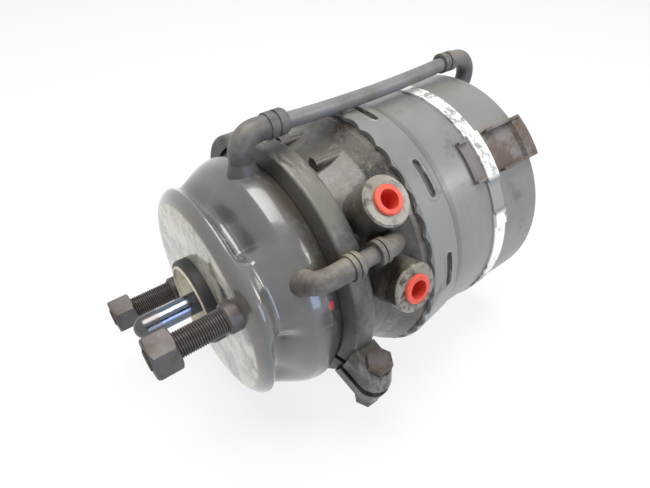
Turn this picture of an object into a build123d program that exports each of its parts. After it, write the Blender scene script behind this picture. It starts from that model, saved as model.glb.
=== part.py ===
from build123d import *
import math
import os

os.makedirs("parts", exist_ok=True)

# Combined service and spring brake chamber for a disc brake, in millimetres.
# X is the chamber axis and points out along the pushrod, Z is up, and the
# origin is the centre of the mounting face. Every "_at" value is a distance
# behind that face, and angles are seen along X, from +Y towards +Z.

# Mounting face and its studs
stud_spacing = 120.65
stud_angle = 31.0
stud_radius = 8.0
stud_reach = 53.5
stud_shoulder_radius = 9.8
stud_shoulder_reach = 7.5
stud_head_radius = 11.0
stud_head_thickness = 3.5
nut_across_flats = 24.0
nut_height = 15.0
nut_at_reach = 37.5
stud_pitch_radius = 7.5
nut_run_clearance = 0.5
thread_clearance = 0.05

# Service housing, a deep pressed pot
housing_wall = 3.0
face_margin = 16.2
face_edge_fillet = 8.0
housing_nose_at = 14.0
housing_nose_rise = 0.8
housing_flare_at = 30.0
housing_flare_rise = 5.1
housing_flare_blend = 20.0
housing_bulge_at = 48.0
housing_bulge_rise = 4.8
housing_bulge_blend = 6.0
housing_neck_at = 57.0
housing_neck_clearance = 1.0
seal_fit_clearance = 0.05
lobe_radius = 21.0
lobe_fillet = 6.0
valley_tilt = 11.0
long_valley_at = 17.5
long_valley_rise = 2.7
long_valley_depth = 7.0
long_valley_floor = 7.0
long_valley_edge = 6.0
long_valley_span = (65.0, 93.0)
short_valley_at = 12.5
short_valley_rise = 1.1
short_valley_depth = 4.8
short_valley_floor = 5.5
short_valley_edge = 4.0
short_valley_span = (-18.0, 1.0)

# Flange joint under the clamp ring
joint_at = 69.5
rim_radius = 88.4
bead_thickness = 3.0
rim_thickness = 3.0
rim_slope = 0.68
clamp_clearance = 0.1
clamp_wall = 2.8
clamp_foot_radius = 81.6
near_bolt_angle = -9.8
far_bolt_angle = 167.8
clamp_gap = 6.5
lug_reach = 14.7
lug_end_radius = 12.5
lug_root_width = 27.0
lug_depth = 17.0
lug_wall = 3.0
lug_taper = 11.0
lug_seat_offset = 0.9
clamp_bolt_radius = 5.0
clamp_bolt_length = 52.5
clamp_bolt_across_flats = 16.0
clamp_bolt_head = 6.4
clamp_nut_height = 8.0
clamp_lobe_angle = 143.0
clamp_lobe_section = 45.0
clamp_lobe_height = 12.0
clamp_lobe_width = 21.0

# Cast flange body with two air ports
flange_front_floor_at = 76.0
flange_rear_floor_at = 106.0
flange_cone_at = 96.0
flange_flare_at = 107.0
flange_lip_at = 117.0
flange_crown_rise = 3.8
flange_crown_at = 124.0
flange_crown_end_at = 134.0
rib_count = 9
rib_start_angle = 80.0
rib_pitch_angle = 27.5
rib_front_at = 85.0
rib_section = 4.5
rib_height = 6.5
spigot_end_at = 150.0
hub_radius = 24.0
hub_end_at = 125.0
port_at = 98.1
service_port_angle = 17.3
parking_port_angle = 48.7
port_boss_radius = 16.4
port_face_radius = 106.8
port_hole_radius = 8.0
port_hole_depth = 15.0
port_passage_radius = 3.0
service_recess_radius = 73.0
service_passage_radius = 69.0
spring_recess_depth = 12.8
parking_passage_depth = 8.0
breather_seat_radius = 9.6
breather_seat_height = 88.5
plug_flange_radius = 9.6
plug_bore_radius = 6.3
plug_flange_thickness = 2.4

# Slotted crimp sleeve and the spring cylinder
cylinder_radius = 92.8
cylinder_wall = 3.0
cylinder_end_at = 246.5
cylinder_mouth_at = 134.3
sleeve_end_at = 151.0
sleeve_wall = 2.2
sleeve_lip_at = 121.9
sleeve_lip_depth = 1.5
slot_count = 9
slot_angle = 10.4
slot_at = 140.0
slot_length = 28.0
slot_width = 6.4
scallop_count = 36
scallop_radius = 22.0
scallop_depth = 1.5
end_recess_radius = 27.0
end_recess_depth = 13.0

# Parking piston, its tube and the power spring
piston_at = 151.6
piston_thickness = 8.0
piston_clearance = 0.4
tube_radius = 14.5
tube_head_at = 40.0
running_clearance = 0.06
hex_bore = 21.0
tube_head_thickness = 5.0
power_spring_radius = 70.0
power_spring_wire = 5.0
power_spring_turns = 4.0

# Pushrod with its plate, diaphragm and return spring
rod_radius = 7.5
rod_reach = 48.5
rod_tip_length = 17.0
rod_tip_step = 0.4
plate_at = 32.0
plate_radius = 60.0
plate_thickness = 5.0
diaphragm_thickness = 2.5
return_spring_radius = 40.0
return_spring_wire = 1.8
return_spring_turns = 3.0

# Rings around the pushrod in the mounting face
seal_ring_radius = 31.0
seal_ring_reach = 7.5
seal_lip_radius = 34.0
seal_lip_thickness = 2.0
guide_ring_radius = 27.8
guide_ring_reach = 8.5
guide_ring_wall = 1.5

# Release bolt and its captive nut
release_bolt_radius = 9.0
release_bolt_front_at = 105.0
release_head_across_flats = 24.0
release_head_height = 9.0
release_nut_at = 112.0
release_nut_height = 12.0

# Vent hose over the top, from the service housing round to the cylinder end
hose_bore_radius = 4.0
nipple_radius = 4.4
nipple_wall = 1.2
elbow_foot_flare = 3.0
vent_elbow_radius = 7.6
vent_rear_elbow_radius = 6.6
vent_collar_rise = 0.9
vent_front_at = 43.5
vent_front_angle = 91.5
vent_front_clearance = 15.2
elbow_foot_depth = 4.4
elbow_foot_height = 5.6
vent_mouth_reach = 34.0
vent_rear_at = 247.0
vent_rear_angle = 97.0
vent_rear_clearance = 5.7
vent_rear_reach = 18.0
vent_return_depth = 12.8
vent_pipe_radius = 5.3
vent_pipe_wall = 1.5
vent_pipe_sag = 3.0
elbow_bend = 12.0

# Short breather hose over the clamp
breather_angle = 34.5
breather_front_at = 38.5
breather_rear_at = 98.5
breather_clearance = 2.4
breather_elbow_radius = 7.0
breather_lip_rise = 1.3
breather_bend = 9.0
breather_pipe_radius = 5.4
breather_pipe_wall = 1.2

# Strap and bracket on the cylinder
strap_at = 198.0
strap_width = 11.5
strap_thickness = 1.3
strap_lap_angle = 16.0
strap_lap_span = 7.0
bracket_angle = 48.0
bracket_half_angle = 9.5
bracket_front_at = 181.0
bracket_rear_at = 248.0
bracket_step_at = 235.0
bracket_step_height = 3.0
bracket_rail_at = 208.0
bracket_rail_length = 38.0
bracket_rail_height = 6.5
bracket_rail_span = 1.2
bracket_tab_length = 8.0
bracket_tab_height = 4.5
bracket_thickness = 2.0
bracket_lift = 0.1


def outward(angle):
    """Unit vector square to the chamber axis at an angle around it."""
    return Vector(0, math.cos(math.radians(angle)), math.sin(math.radians(angle)))


def place(at, radius, angle):
    """Point at a distance behind the face, off the axis, around it."""
    return Vector(-at, 0, 0) + outward(angle) * radius


def radial_plane(at, angle, radius=0.0):
    """Plane square to a radius of the chamber."""
    return Plane(origin=place(at, radius, angle), x_dir=(1, 0, 0), z_dir=outward(angle))


def section_plane(angle):
    """Plane through the chamber axis, with the axis as its x direction."""
    return Plane.XY.rotated((angle, 0, 0))


def cross_plane(at):
    """Plane square to the chamber axis, facing along X."""
    return Plane.YZ.offset(-at)


# Joint faces derived from the clamp's middle plane
centre_hole_radius = seal_ring_radius + seal_fit_clearance
housing_rim_rear_at = joint_at - bead_thickness / 2
housing_rim_front_at = housing_rim_rear_at - rim_thickness
flange_rim_front_at = joint_at + bead_thickness / 2
flange_rim_rear_at = flange_rim_front_at + rim_thickness
rim_drop = rim_radius - clamp_foot_radius
rim_spread = rim_drop * rim_slope
flange_waist_radius = clamp_foot_radius - 0.4
channel_radius = rim_radius + clamp_clearance
crown_radius = channel_radius + clamp_wall
lug_radius = crown_radius + lug_reach
flange_crown_radius = cylinder_radius + flange_crown_rise
sleeve_lip_radius = flange_crown_radius - sleeve_lip_depth
flange_rise = sleeve_lip_radius - 0.2 - flange_waist_radius
spring_recess_radius = cylinder_radius - spring_recess_depth
parking_passage_radius = spring_recess_radius - parking_passage_depth
sleeve_slope = (flange_crown_radius - cylinder_radius) / (sleeve_end_at - flange_crown_at)
cylinder_bore = cylinder_radius - cylinder_wall
vent_front_height = cylinder_radius + vent_front_clearance
vent_rear_height = cylinder_radius + vent_rear_elbow_radius + vent_collar_rise + vent_rear_clearance
vent_return_height = cylinder_radius - vent_return_depth
housing_neck_radius = clamp_foot_radius - housing_neck_clearance
bead_inner_radius = housing_neck_radius - housing_wall - 1.1
face_edge_radius = stud_spacing / 2 + face_margin
housing_nose_radius = face_edge_radius + housing_nose_rise
housing_flare_radius = face_edge_radius + housing_flare_rise
housing_bulge_radius = housing_flare_radius + housing_bulge_rise


def cone_radius(at):
    """Radius of the crimp cone that flange body, cylinder and sleeve share."""
    return cylinder_radius + sleeve_slope * (sleeve_end_at - at)


# Service housing
def front_valley(at, rise, depth, floor, edge, span, grow=0.0):
    """Smooth valley pressed into the nose, with its twin half a turn on."""
    sections = floor + edge
    half_width = math.sqrt(sections**2 - (sections - depth) ** 2)
    lean = math.asin(half_width / sections)
    floor_centre = Vector(0, floor - depth)
    edge_centre = Vector(half_width, -edge)
    lip = edge_centre.Y + edge - grow
    above = 3 * edge

    def on_arc(centre, angle, radius):
        return (centre.X + radius * math.sin(angle), centre.Y - radius * math.cos(angle))

    meeting = on_arc(floor_centre, lean, floor + grow)
    with BuildSketch() as half_profile:
        with BuildLine():
            ThreePointArc(
                on_arc(floor_centre, 0, floor + grow),
                on_arc(floor_centre, lean / 2, floor + grow),
                meeting,
            )
            ThreePointArc(
                meeting,
                on_arc(edge_centre, lean / 2, grow - edge),
                (half_width, lip),
            )
            Polyline(
                (half_width, lip),
                (half_width, above),
                (0, above),
                on_arc(floor_centre, 0, floor + grow),
            )
        make_face()
    with BuildPart() as valley:
        for turn in (0, 180):
            for angle, way in ((span[0] + turn, 1), (span[1] + turn, -1)):
                start = tilted_plane(at, face_edge_radius + rise, angle)
                with BuildSketch(start):
                    add(half_profile.sketch)
                revolve(axis=Axis(start.origin, start.y_dir * way), revolution_arc=180)
            with BuildSketch(tilted_plane(at, face_edge_radius + rise, span[0] + turn)):
                add(half_profile.sketch)
                mirror(about=Plane.YZ)
            revolve(axis=Axis.X, revolution_arc=span[1] - span[0])
    return valley.part


def tilted_plane(at, radius, angle):
    """Section plane with its origin on the nose and leaning as the nose does."""
    lean = math.radians(valley_tilt)
    along = Vector(math.cos(lean), 0, 0) - outward(angle) * math.sin(lean)
    return Plane(origin=place(at, radius, angle), x_dir=along, z_dir=outward(angle + 90))


def stud_lobes(radius, front_at, edge):
    """Round lobes of the nose behind the two studs."""
    with BuildPart() as lobes:
        with BuildSketch(cross_plane(front_at)):
            with PolarLocations(stud_spacing / 2, 2, start_angle=stud_angle):
                Circle(radius)
        extrude(amount=front_at - housing_flare_at)
        fillet(faces().sort_by(Axis.X)[-2:].edges(), edge)
    return lobes.part


long_valley = (
    long_valley_at,
    long_valley_rise,
    long_valley_depth,
    long_valley_floor,
    long_valley_edge,
    long_valley_span,
)
short_valley = (
    short_valley_at,
    short_valley_rise,
    short_valley_depth,
    short_valley_floor,
    short_valley_edge,
    short_valley_span,
)
valley_tools = [front_valley(*long_valley), front_valley(*short_valley)]
valley_keeps = [front_valley(*valley, grow=housing_wall) for valley in (long_valley, short_valley)]
outer_lobes = stud_lobes(lobe_radius, 0, lobe_fillet)
inner_lobes = stud_lobes(lobe_radius - housing_wall, housing_wall, lobe_fillet)

with BuildPart() as housing_form:
    with BuildSketch(Plane.XY):
        with BuildLine():
            Polyline(
                (0, 0),
                (0, face_edge_radius),
                (-housing_nose_at, housing_nose_radius),
                (-housing_flare_at, housing_flare_radius),
                (-housing_bulge_at, housing_bulge_radius),
                (-housing_neck_at, housing_neck_radius),
                (-(housing_rim_front_at - rim_spread) + 0.4, housing_neck_radius),
                (-housing_rim_front_at, rim_radius),
                (-housing_rim_rear_at, rim_radius),
                (-housing_rim_rear_at, 0),
                close=True,
            )
        make_face()
        corners = (
            (0, face_edge_radius, face_edge_fillet),
            (-housing_bulge_at, housing_bulge_radius, housing_bulge_blend),
            (-housing_flare_at, housing_flare_radius, housing_flare_blend),
            (-housing_nose_at, housing_nose_radius, housing_flare_blend),
        )
        for x, radius, blend in corners:
            fillet(vertices().sort_by_distance((x, radius))[0], blend)
    revolve(axis=Axis.X)
    add(outer_lobes)

with BuildPart() as housing_void:
    with BuildSketch(Plane.XY):
        with BuildLine():
            Polyline(
                (-housing_wall, 0),
                (-housing_wall, face_edge_radius - housing_wall),
                (-housing_nose_at, housing_nose_radius - housing_wall),
                (-housing_flare_at, housing_flare_radius - housing_wall),
                (-housing_bulge_at + 1, housing_bulge_radius - housing_wall),
                (-housing_neck_at, housing_neck_radius - housing_wall),
                (-housing_rim_rear_at, housing_neck_radius - housing_wall),
                (-housing_rim_rear_at, 0),
                close=True,
            )
        make_face()
        fillet(
            vertices().sort_by_distance((-housing_wall, face_edge_radius - housing_wall))[0],
            face_edge_radius - housing_wall - stud_spacing / 2 - stud_head_radius - 0.1,
        )
    revolve(axis=Axis.X)
    add(inner_lobes)
    for keep in valley_keeps:
        add(keep, mode=Mode.SUBTRACT)

with BuildPart() as service_housing:
    add(housing_form.part)
    for tool in valley_tools:
        add(tool, mode=Mode.SUBTRACT)
    add(housing_void.part, mode=Mode.SUBTRACT)
    with BuildSketch(cross_plane(housing_wall + 1)):
        Circle(centre_hole_radius)
        with PolarLocations(stud_spacing / 2, 2, start_angle=stud_angle):
            Circle(stud_shoulder_radius)
    extrude(amount=housing_wall + 2, mode=Mode.SUBTRACT)
    with BuildSketch(radial_plane(vent_front_at, vent_front_angle, 70)):
        Circle(nipple_radius)
    extrude(amount=30, mode=Mode.SUBTRACT)
    with BuildSketch(radial_plane(breather_front_at, breather_angle, 70)):
        Circle(nipple_radius)
    extrude(amount=30, mode=Mode.SUBTRACT)
service_housing.part.label = "service_housing"
export_step(service_housing.part, "parts/service_housing.step")

# Mounting studs, pressed in from inside the housing; the part that carries
# the nut is at the thread's pitch radius
thread_end_reach = nut_at_reach - nut_run_clearance
with BuildPart() as mounting_studs:
    with BuildSketch(cross_plane(housing_wall + stud_head_thickness)):
        with PolarLocations(stud_spacing / 2, 2, start_angle=stud_angle):
            Circle(stud_head_radius)
    extrude(amount=stud_head_thickness)
    with BuildSketch(cross_plane(housing_wall)):
        with PolarLocations(stud_spacing / 2, 2, start_angle=stud_angle):
            Circle(stud_shoulder_radius)
    extrude(amount=housing_wall + stud_shoulder_reach)
    chamfer(faces().sort_by(Axis.X)[-2:].edges(), 1.2)
    with BuildSketch(cross_plane(-stud_shoulder_reach + 0.5)):
        with PolarLocations(stud_spacing / 2, 2, start_angle=stud_angle):
            Circle(stud_radius)
    extrude(amount=thread_end_reach - stud_shoulder_reach + 0.5)
    with BuildSketch(cross_plane(-thread_end_reach + 0.5)):
        with PolarLocations(stud_spacing / 2, 2, start_angle=stud_angle):
            Circle(stud_pitch_radius)
    extrude(amount=stud_reach - thread_end_reach + 0.5)
    chamfer(faces().sort_by(Axis.X)[-2:].edges(), 1.2)
mounting_studs.part.label = "mounting_studs"
export_step(mounting_studs.part, "parts/mounting_studs.step")

# Stud nuts, run out to the stud tips, with their corners turned off at both ends
nut_corner_radius = nut_across_flats / 2 / math.cos(math.pi / 6)
nut_corner_cut = nut_corner_radius - 0.96 * nut_across_flats / 2
with BuildPart() as nut_turning:
    with BuildSketch(cross_plane(-nut_at_reach)):
        with PolarLocations(stud_spacing / 2, 2, start_angle=stud_angle):
            Circle(nut_corner_radius)
    extrude(amount=nut_height)
    for ends in (faces().sort_by(Axis.X)[-2:], faces().sort_by(Axis.X)[:2]):
        chamfer(ends.edges(), length=0.6 * nut_corner_cut, length2=nut_corner_cut)

with BuildPart() as stud_nuts:
    for turn in (0, 180):
        centre = place(-nut_at_reach, stud_spacing / 2, stud_angle + turn)
        nut_plane = Plane(origin=centre, x_dir=outward(stud_angle + 15), z_dir=(1, 0, 0))
        with BuildSketch(nut_plane):
            RegularPolygon(nut_across_flats / 2, 6, major_radius=False)
        extrude(amount=nut_height)
    add(nut_turning.part, mode=Mode.INTERSECT)
    with BuildSketch(cross_plane(-nut_at_reach + 1)):
        with PolarLocations(stud_spacing / 2, 2, start_angle=stud_angle):
            Circle(stud_pitch_radius + thread_clearance)
    extrude(amount=nut_height + 2, mode=Mode.SUBTRACT)
stud_nuts.part.label = "stud_nuts"
export_step(stud_nuts.part, "parts/stud_nuts.step")

# Cream guide ring in the centre hole, opening outwards as a cone
guide_outer = guide_ring_radius
guide_inner = guide_ring_radius - guide_ring_wall
with BuildPart() as guide_ring:
    with BuildSketch(Plane.XY):
        with BuildLine():
            Polyline(
                (guide_ring_reach, guide_outer),
                (guide_ring_reach, guide_inner),
                (guide_ring_reach - 2, guide_inner),
                (-housing_wall - 1, guide_inner - 7),
                (-housing_wall - 3, guide_inner - 7),
                (-housing_wall - 3, guide_outer),
                close=True,
            )
        make_face()
    revolve(axis=Axis.X)
guide_ring.part.label = "guide_ring"
export_step(guide_ring.part, "parts/guide_ring.step")

# Black seal ring that squeezes against the caliper, with a lip behind the wall
seal_ring_chamfer = 0.8
with BuildPart() as seal_ring:
    with BuildSketch(Plane.XY):
        with BuildLine():
            Polyline(
                (-housing_wall - seal_lip_thickness, guide_outer),
                (seal_ring_reach, guide_outer),
                (seal_ring_reach, seal_ring_radius - seal_ring_chamfer),
                (seal_ring_reach - 2 * seal_ring_chamfer, seal_ring_radius),
                (-housing_wall, seal_ring_radius),
                (-housing_wall, seal_lip_radius),
                (-housing_wall - seal_lip_thickness, seal_lip_radius),
                close=True,
            )
        make_face()
    revolve(axis=Axis.X)
seal_ring.part.label = "seal_ring"
export_step(seal_ring.part, "parts/seal_ring.step")

# Pushrod with a domed hard tip
with BuildPart() as pushrod:
    with BuildSketch(Plane.XY):
        tip_start = rod_reach - rod_tip_length
        tip_radius = rod_radius + rod_tip_step
        with BuildLine():
            Polyline(
                (rod_reach - tip_radius, tip_radius),
                (tip_start, tip_radius),
                (tip_start, rod_radius),
                (-plate_at, rod_radius),
                (-plate_at, 0),
                (rod_reach, 0),
            )
            ThreePointArc(
                (rod_reach, 0),
                (
                    rod_reach - tip_radius + tip_radius * math.sin(math.pi / 4),
                    tip_radius * math.cos(math.pi / 4),
                ),
                (rod_reach - tip_radius, tip_radius),
            )
        make_face()
    revolve(axis=Axis.X)
pushrod.part.label = "pushrod"
export_step(pushrod.part, "parts/pushrod.step")

# Pushrod plate, a pressed disc with a raised boss for the return spring
with BuildPart() as pushrod_plate:
    with BuildSketch(Plane.XY):
        with BuildLine():
            Polyline(
                (-plate_at, 0),
                (-plate_at, plate_radius - 8),
                (-plate_at - 1.5, plate_radius),
                (-plate_at - plate_thickness, plate_radius),
                (-plate_at - plate_thickness, 0),
                close=True,
            )
        make_face()
    revolve(axis=Axis.X)
pushrod_plate.part.label = "pushrod_plate"
export_step(pushrod_plate.part, "parts/pushrod_plate.step")

# Rubber gaiter between the guide ring and the pushrod
with BuildPart() as gaiter:
    with BuildSketch(Plane.XY):
        start = -housing_wall - 3.2
        with BuildLine():
            Polyline(
                (start, guide_inner - 1),
                (start, guide_inner - 6),
                (start - 4, 15),
                (start - 2, 11),
                (start - 6, rod_radius + 0.4),
                (start - 10, rod_radius + 0.4),
                (start - 10, rod_radius + 2.4),
                (start - 5.5, 12.6),
                (start - 6.5, 16),
                (start - 2, guide_inner - 1),
                close=True,
            )
        make_face()
    revolve(axis=Axis.X)
gaiter.part.label = "gaiter"
export_step(gaiter.part, "parts/gaiter.step")


def coil(at_front, at_rear, mean_radius, wire, turns):
    """Compression spring along the chamber axis between two faces."""
    free = at_rear - at_front - 2 * wire
    pitch = free / turns
    with BuildPart() as spring:
        with BuildLine() as path:
            Helix(
                pitch=pitch,
                height=free,
                radius=mean_radius,
                center=(-at_rear + wire, 0, 0),
                direction=(1, 0, 0),
            )
        with BuildSketch(Plane(origin=path.line @ 0, z_dir=path.line % 0)):
            Circle(wire)
        sweep(path=path.line, is_frenet=True)
    return spring.part


# Return spring between the housing floor and the pushrod plate
return_spring = coil(
    housing_wall + 0.3,
    plate_at - 0.3,
    return_spring_radius,
    return_spring_wire,
    return_spring_turns,
)
return_spring.label = "return_spring"
export_step(return_spring, "parts/return_spring.step")

# Service diaphragm, its bead held in the flange joint
diaphragm_front_at = plate_at + plate_thickness + 0.2
with BuildPart() as service_diaphragm:
    with BuildSketch(Plane.XY):
        with BuildLine():
            Polyline(
                (-diaphragm_front_at, 0),
                (-diaphragm_front_at, plate_radius - 3),
                (-housing_rim_rear_at + 2, bead_inner_radius),
                (-housing_rim_rear_at, bead_inner_radius),
                (-housing_rim_rear_at, rim_radius),
                (-flange_rim_front_at, rim_radius),
                (-flange_rim_front_at, 73.5),
                (-diaphragm_front_at - diaphragm_thickness, plate_radius - 4),
                (-diaphragm_front_at - diaphragm_thickness, 0),
                close=True,
            )
        make_face()
    revolve(axis=Axis.X)
service_diaphragm.part.label = "service_diaphragm"
export_step(service_diaphragm.part, "parts/service_diaphragm.step")

# Clamp ring in two channel-shaped halves with dished, bolted lugs. Places along
# a clamp bolt are measured from the point nearest the axis, towards its head.
foot_front_at = housing_rim_front_at - rim_spread
foot_rear_at = flange_rim_rear_at + rim_spread
head_seat = -lug_seat_offset
upper_rim = head_seat - lug_depth
lower_rim = upper_rim - clamp_gap
nut_seat = lower_rim - lug_depth
upper_gap_angle = math.degrees(math.asin(-upper_rim / channel_radius))
lower_gap_angle = math.degrees(math.asin(-lower_rim / channel_radius))
bolt_pairs = ((near_bolt_angle, 1), (far_bolt_angle, -1))


def bolt_plane(angle, head_side, along, facing):
    """Plane square to a clamp bolt, with the chamber's outward direction as its y."""
    tangent = outward(angle + 90)
    normal = tangent * head_side * facing
    return Plane(
        origin=place(joint_at, 0, angle) + tangent * head_side * along,
        x_dir=outward(angle).cross(normal),
        z_dir=normal,
    )


def lug_outline(inset):
    """Round-ended lug seen along its bolt, wider at the root."""
    with BuildSketch() as outline:
        with Locations((0, lug_radius)):
            Circle(lug_end_radius - inset)
        with Locations((0, clamp_foot_radius - 5)):
            Rectangle(lug_root_width - 2 * inset, 2)
        make_hull()
    return outline.sketch


def dished_lug(angle, head_side, rim, facing):
    """Lug whose rim stands towards the gap and whose floor carries the bolt."""
    with BuildPart() as lug:
        with BuildSketch(bolt_plane(angle, head_side, rim, facing)):
            add(lug_outline(0))
        extrude(amount=lug_depth, taper=lug_taper)
        with BuildSketch(cross_plane(joint_at - lug_root_width)):
            Circle(crown_radius - 1)
        extrude(amount=-2 * lug_root_width, mode=Mode.SUBTRACT)
        add(lug_hollow(angle, head_side, rim, facing), mode=Mode.SUBTRACT)
        with BuildSketch(bolt_plane(angle, head_side, rim, facing)):
            with Locations((0, lug_radius)):
                Circle(clamp_bolt_radius + 0.3)
        extrude(amount=lug_depth, mode=Mode.SUBTRACT)
    return lug.part


def lug_hollow(angle, head_side, rim, facing):
    """Hollow of a dished lug, open towards the gap."""
    with BuildPart() as hollow:
        with BuildSketch(bolt_plane(angle, head_side, rim, facing)):
            add(lug_outline(lug_wall))
        extrude(amount=lug_depth - lug_wall, taper=lug_taper)
        with BuildSketch(cross_plane(joint_at - lug_root_width)):
            Circle(crown_radius + lug_wall)
        extrude(amount=-2 * lug_root_width, mode=Mode.SUBTRACT)
    return hollow.part


def clamp_band(start, end):
    """Arc of the clamp's channel section."""
    with BuildPart() as channel:
        with BuildSketch(section_plane(start)):
            with BuildLine():
                Polyline(
                    (-foot_front_at + 0.1, clamp_foot_radius),
                    (-housing_rim_front_at + 0.1, channel_radius),
                    (-flange_rim_rear_at - 0.1, channel_radius),
                    (-foot_rear_at - 0.1, clamp_foot_radius),
                    (-foot_rear_at - clamp_wall, clamp_foot_radius),
                    (-flange_rim_rear_at - clamp_wall, crown_radius),
                    (-housing_rim_front_at + clamp_wall, crown_radius),
                    (-foot_front_at + clamp_wall, clamp_foot_radius),
                    close=True,
                )
            make_face()
            fillet(vertices().group_by(Axis.Y)[-1], 2.2)
        revolve(axis=Axis.X, revolution_arc=end - start)
    return channel.part


upper_band = clamp_band(near_bolt_angle - upper_gap_angle, far_bolt_angle + upper_gap_angle)
upper_lugs = [dished_lug(angle, side, upper_rim, 1) for angle, side in bolt_pairs]
with BuildPart() as clamp_lobe:
    with BuildSketch(cross_plane(joint_at - clamp_lobe_width / 2)):
        with PolarLocations(
            crown_radius + clamp_lobe_height - clamp_lobe_section, 1, start_angle=clamp_lobe_angle
        ):
            Circle(clamp_lobe_section)
    extrude(amount=-clamp_lobe_width)
    fillet(edges(), 4)
    with BuildSketch(cross_plane(joint_at - clamp_lobe_width)):
        Circle(crown_radius - 1)
    extrude(amount=-2 * clamp_lobe_width, mode=Mode.SUBTRACT)

with BuildPart() as clamp_half_upper:
    add(upper_band)
    add(clamp_lobe.part)
    add(upper_lugs)
clamp_half_upper.part.label = "clamp_half_upper"
export_step(clamp_half_upper.part, "parts/clamp_half_upper.step")

lower_band = clamp_band(far_bolt_angle + lower_gap_angle, 360 + near_bolt_angle - lower_gap_angle)
lower_lugs = [dished_lug(angle, side, lower_rim, -1) for angle, side in bolt_pairs]
with BuildPart() as clamp_half_lower:
    add(lower_band)
    add(lower_lugs)
clamp_half_lower.part.label = "clamp_half_lower"
export_step(clamp_half_lower.part, "parts/clamp_half_lower.step")

# Clamp bolts through the lugs, with their nuts
with BuildPart() as clamp_bolts:
    for angle, side in bolt_pairs:
        with BuildSketch(bolt_plane(angle, side, head_seat, 1)):
            with Locations((0, lug_radius)):
                RegularPolygon(clamp_bolt_across_flats / 2, 6, major_radius=False)
        extrude(amount=clamp_bolt_head)
        with BuildSketch(bolt_plane(angle, side, head_seat, -1)):
            with Locations((0, lug_radius)):
                Circle(clamp_bolt_radius)
        extrude(amount=clamp_bolt_length)
clamp_bolts.part.label = "clamp_bolts"
export_step(clamp_bolts.part, "parts/clamp_bolts.step")

with BuildPart() as clamp_nuts:
    for angle, side in bolt_pairs:
        with BuildSketch(bolt_plane(angle, side, nut_seat, -1)):
            with Locations((0, lug_radius)):
                RegularPolygon(clamp_bolt_across_flats / 2, 6, major_radius=False)
                Circle(clamp_bolt_radius + thread_clearance, mode=Mode.SUBTRACT)
        extrude(amount=clamp_nut_height)
clamp_nuts.part.label = "clamp_nuts"
export_step(clamp_nuts.part, "parts/clamp_nuts.step")

# Cast flange body between the two chambers
with BuildPart() as flange_form:
    with BuildSketch(Plane.XY):
        with BuildLine():
            Polyline(
                (-flange_rim_front_at, 0),
                (-flange_rim_front_at, rim_radius),
                (-flange_rim_rear_at, rim_radius),
                (-foot_rear_at + 0.4, flange_waist_radius),
                (-foot_rear_at - 5, flange_waist_radius - 1),
                (-flange_cone_at, flange_waist_radius + 0.11 * flange_rise),
                (-flange_flare_at, flange_waist_radius + 0.44 * flange_rise),
                (-flange_lip_at, sleeve_lip_radius - 0.2),
                (-flange_crown_at, sleeve_lip_radius - 0.2),
                (-flange_crown_at, flange_crown_radius),
                (-flange_crown_end_at, cone_radius(flange_crown_end_at)),
                (-flange_crown_end_at, cylinder_bore - 0.1),
                (-spigot_end_at, cylinder_bore - 0.1),
                (-spigot_end_at, 0),
                close=True,
            )
        make_face()
        fillet(vertices().sort_by_distance((-flange_cone_at, flange_waist_radius + 0.11 * flange_rise))[0], 12)
        fillet(vertices().sort_by_distance((-flange_flare_at, flange_waist_radius + 0.44 * flange_rise))[0], 12)
    revolve(axis=Axis.X)
    for index in range(rib_count):
        rib_angle = rib_start_angle + index * rib_pitch_angle
        rib_radius = flange_waist_radius + rib_height - rib_section
        with BuildSketch(cross_plane(rib_front_at)):
            with PolarLocations(rib_radius, 1, start_angle=rib_angle):
                Circle(rib_section)
        extrude(amount=rib_front_at - flange_lip_at)
    for angle in (service_port_angle, parking_port_angle):
        with BuildSketch(radial_plane(port_at, angle, 70)):
            Circle(port_boss_radius)
        extrude(amount=port_face_radius - 70)
    outer_faces = faces().filter_by(GeomType.PLANE).filter_by(
        lambda f: abs(f.normal_at().X) < 0.5 and f.area < 1000
    )
    chamfer(outer_faces.edges(), 1.2)
    with BuildSketch(radial_plane(breather_rear_at, breather_angle, 70)):
        Circle(breather_seat_radius)
    extrude(amount=breather_seat_height - 70)

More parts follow.
